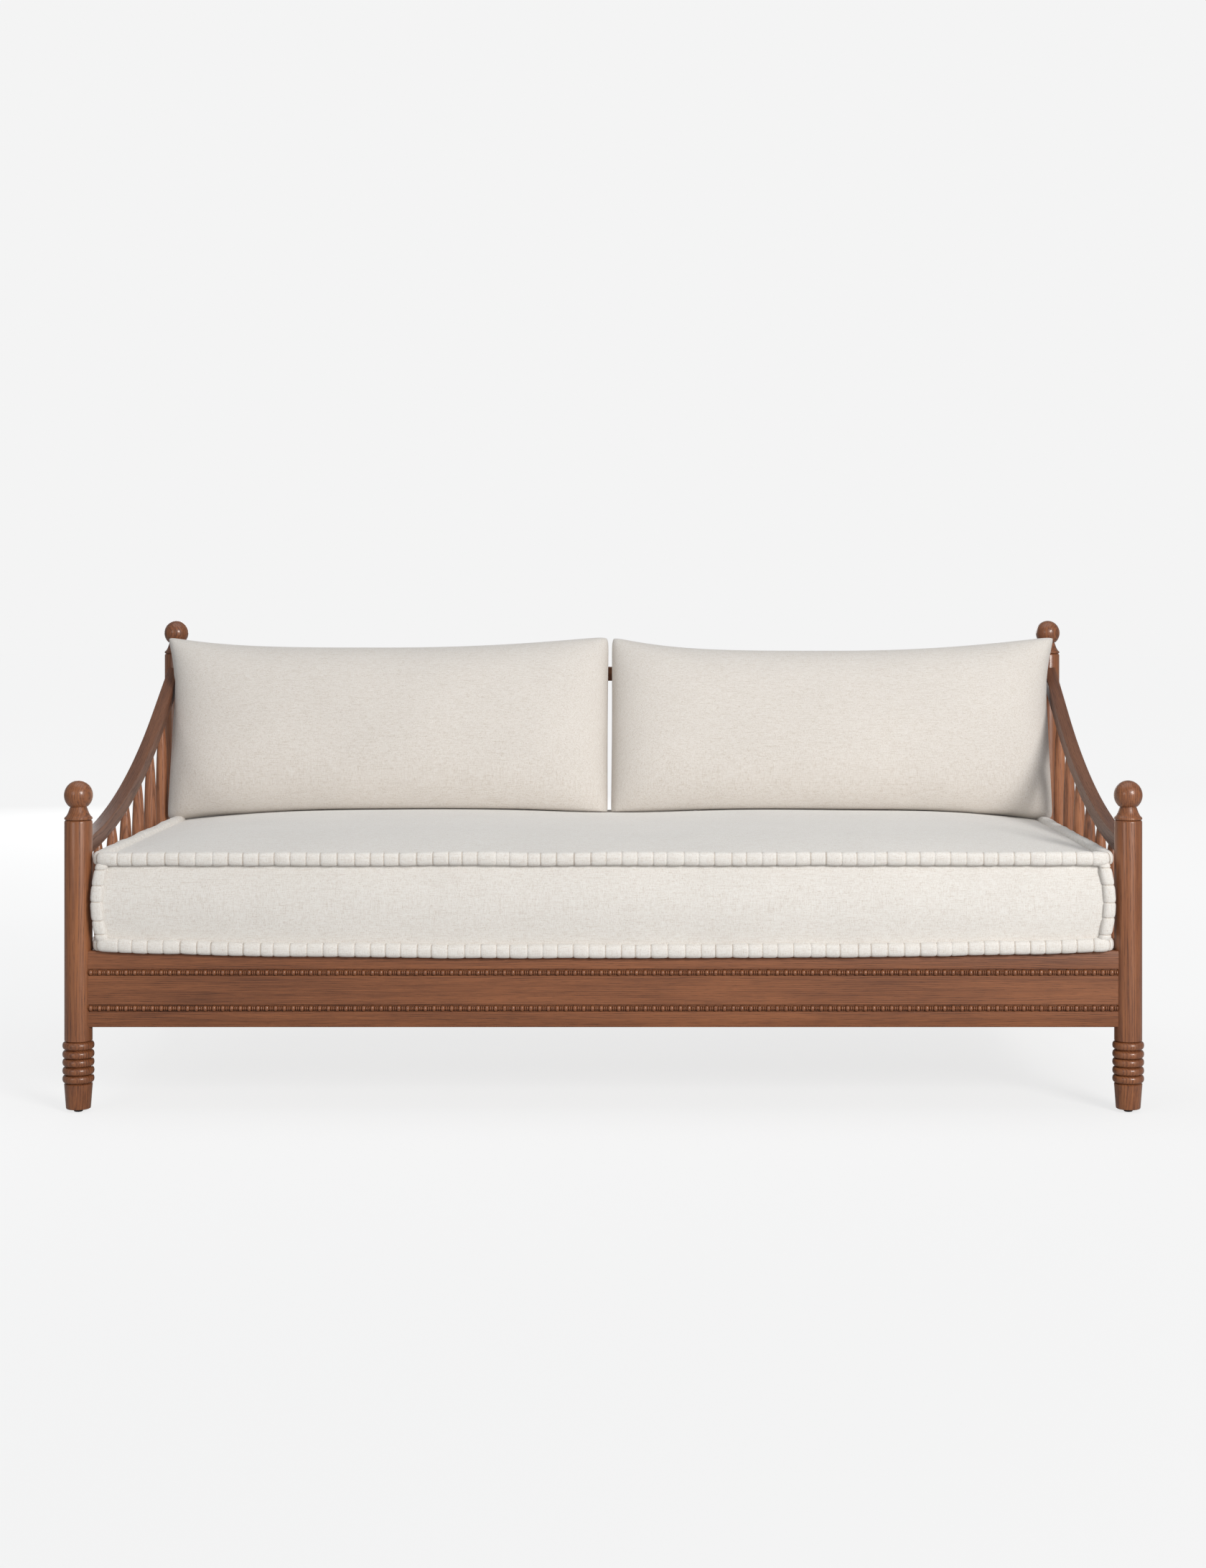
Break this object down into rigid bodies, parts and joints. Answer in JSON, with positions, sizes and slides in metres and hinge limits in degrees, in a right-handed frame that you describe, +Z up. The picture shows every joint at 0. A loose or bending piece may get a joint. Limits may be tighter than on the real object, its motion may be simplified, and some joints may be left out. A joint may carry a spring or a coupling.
{
  "type": "daybed",
  "caption": "Wooden daybed with turned posts, ball finials, curved spindle arms, a moulded front rail, a box mattress with stitched edges and loose back cushions.",
  "frame": {"origin": "middle of the bounding box at floor level", "axes": "+X to the sitter's left along the length as seen from the front (right in a front view), +Y towards the back, +Z up"},
  "size_m": [2.06, 1.02, 0.929],
  "materials": {
    "post": "stained, satin lacquer",
    "finial": "stained, satin lacquer",
    "rail": "stained, satin lacquer",
    "moulding": "stained, satin lacquer",
    "arm": "stained, satin lacquer",
    "spindle": "stained, satin lacquer",
    "base_wood": "bare, planed",
    "glide": "matt black",
    "mattress_linen": "oatmeal linen weave",
    "cushion_linen": "oatmeal linen weave"
  },
  "bodies": {
    "frame": {"post_front_left": "post", "finial_front_left": "finial", "glide_front_left": "glide", "post_front_right": "post", "finial_front_right": "finial", "glide_front_right": "glide", "post_back_left": "post", "finial_back_left": "finial", "glide_back_left": "glide", "post_back_right": "post", "finial_back_right": "finial", "glide_back_right": "glide", "front_rail": "rail", "moulding_upper": "moulding", "moulding_lower": "moulding", "back_lower_rail": "rail", "back_top_rail": "rail", "side_rail_left": "rail", "arm_left": "arm", "arm_spindle_left_1": "spindle", "arm_spindle_left_2": "spindle", "arm_spindle_left_3": "spindle", "arm_spindle_left_4": "spindle", "arm_spindle_left_5": "spindle", "arm_spindle_left_6": "spindle", "side_rail_right": "rail", "arm_right": "arm", "arm_spindle_right_1": "spindle", "arm_spindle_right_2": "spindle", "arm_spindle_right_3": "spindle", "arm_spindle_right_4": "spindle", "arm_spindle_right_5": "spindle", "arm_spindle_right_6": "spindle", "back_spindle_1": "spindle", "back_spindle_2": "spindle", "back_spindle_3": "spindle", "back_spindle_4": "spindle", "back_spindle_5": "spindle", "back_spindle_6": "spindle", "back_spindle_7": "spindle", "back_spindle_8": "spindle", "back_spindle_9": "spindle", "back_spindle_10": "spindle", "back_spindle_11": "spindle", "back_spindle_12": "spindle", "cleat_front": "base_wood", "cleat_back": "base_wood", "slat_1": "base_wood", "slat_2": "base_wood", "slat_3": "base_wood", "slat_4": "base_wood", "slat_5": "base_wood", "slat_6": "base_wood", "slat_7": "base_wood", "slat_8": "base_wood", "slat_9": "base_wood", "slat_10": "base_wood"},
    "mattress": {"mattress": "mattress_linen"},
    "back_cushion_left": {"back_cushion_left": "cushion_linen"},
    "back_cushion_right": {"back_cushion_right": "cushion_linen"}
  },
  "joints": [
    {"name": "mattress_lift", "type": "slide", "parent": "frame", "child": "mattress", "axis": [0, 0, 1], "range_m": [0, 0.35]},
    {"name": "back_cushion_left_lift", "type": "slide", "parent": "mattress", "child": "back_cushion_left", "axis": [0, 0, 1], "range_m": [0, 0.3]},
    {"name": "back_cushion_right_lift", "type": "slide", "parent": "mattress", "child": "back_cushion_right", "axis": [0, 0, 1], "range_m": [0, 0.3]}
  ]
}
